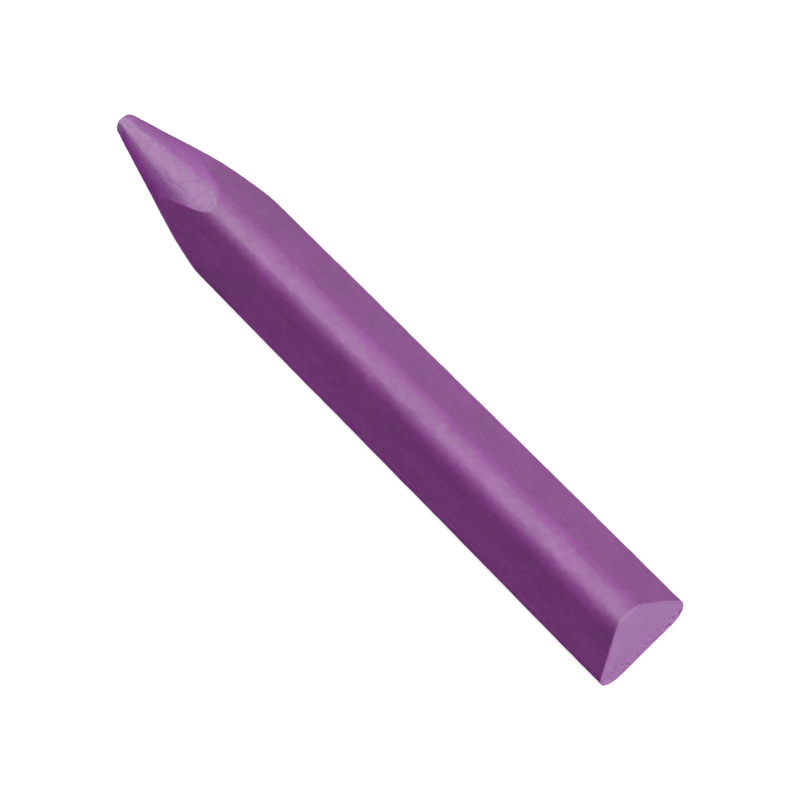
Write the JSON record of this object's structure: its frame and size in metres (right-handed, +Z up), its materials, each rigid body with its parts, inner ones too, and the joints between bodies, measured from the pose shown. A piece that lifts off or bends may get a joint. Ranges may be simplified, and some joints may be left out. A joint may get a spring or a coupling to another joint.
{
  "type": "wax crayon",
  "caption": "Triangular wax crayon with rounded ridges, a blunt coned writing tip and a flat cut rear end, for drawing and colouring on paper.",
  "frame": {"origin": "on the surface the crayon lies on, under the middle of its length and width", "axes": "+X along the crayon towards its tip, +Z up from the flat it lies on to the ridge above, +Y across it"},
  "size_m": [0.1, 0.0136, 0.0124],
  "materials": {
    "drawn_wax": "satin purple wax with fine lengthwise draw lines",
    "cut_wax": "matte purple wax with fine turning marks round the cone"
  },
  "bodies": {
    "root": {"wax_stick": "drawn_wax", "writing_tip": "cut_wax"}
  },
  "joints": []
}
